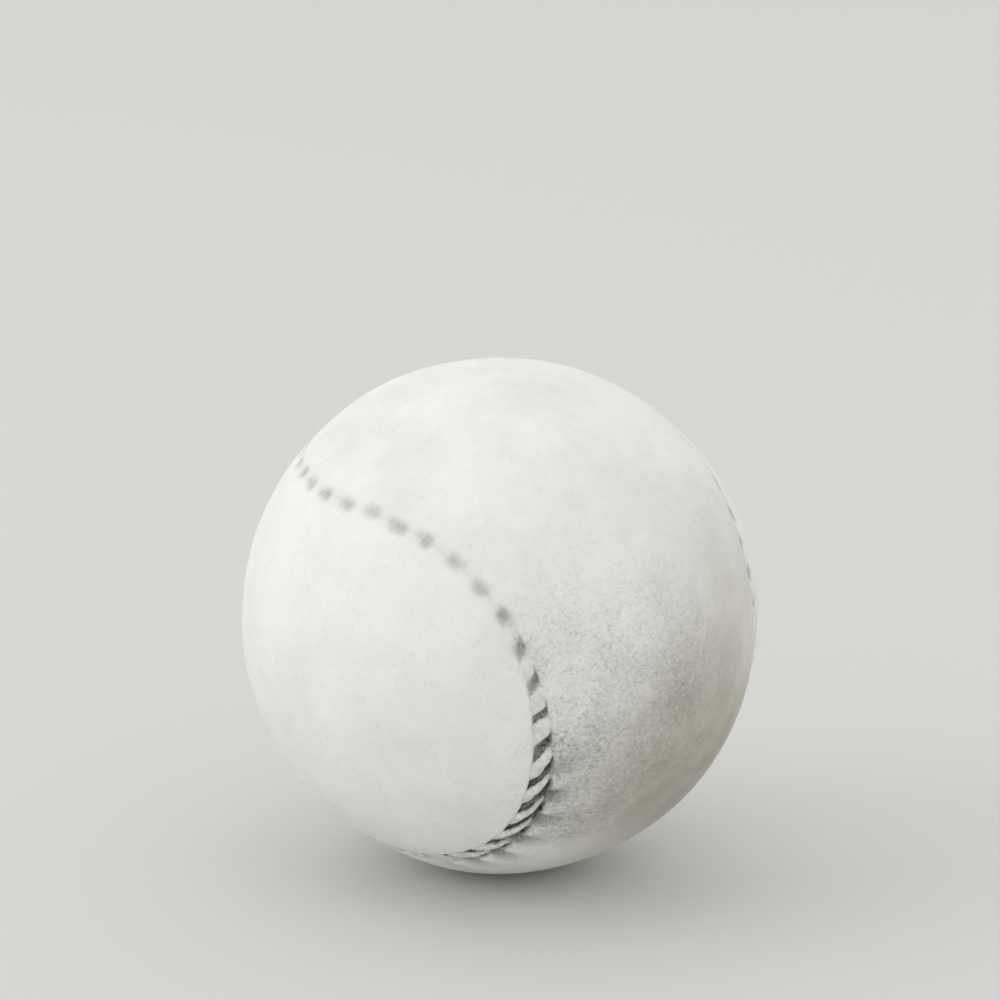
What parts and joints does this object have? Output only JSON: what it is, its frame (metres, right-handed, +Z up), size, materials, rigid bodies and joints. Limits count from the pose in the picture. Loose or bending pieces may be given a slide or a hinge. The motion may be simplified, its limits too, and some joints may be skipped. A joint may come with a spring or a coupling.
{
  "type": "fronton ball",
  "caption": "Hand-sewn leather ball for hand pelota: wooden core wound with latex, wool and cotton under a two-panel leather cover with a whip-stitched seam.",
  "frame": {"origin": "centre of the ball", "axes": "+Z up as pictured, -Y towards the viewer, +X to the viewer's right"},
  "size_m": [0.0619, 0.0621, 0.0615],
  "materials": {
    "boxwood": "turned and left bare",
    "latex_strip": "matt natural latex",
    "wool_yarn": "undyed wool yarn",
    "cotton_thread": "undyed cotton thread",
    "left_goatskin": "white goatskin, smooth and softly matt",
    "right_goatskin": "white goatskin, grained, with wear and dirt",
    "waxed_thread": "white waxed thread"
  },
  "bodies": {
    "root": {"boxwood_core": "boxwood", "latex_winding": "latex_strip", "wool_winding": "wool_yarn", "cotton_winding": "cotton_thread", "left_cover_panel": "left_goatskin", "right_cover_panel": "right_goatskin", "seam_thread": "waxed_thread"}
  },
  "joints": []
}
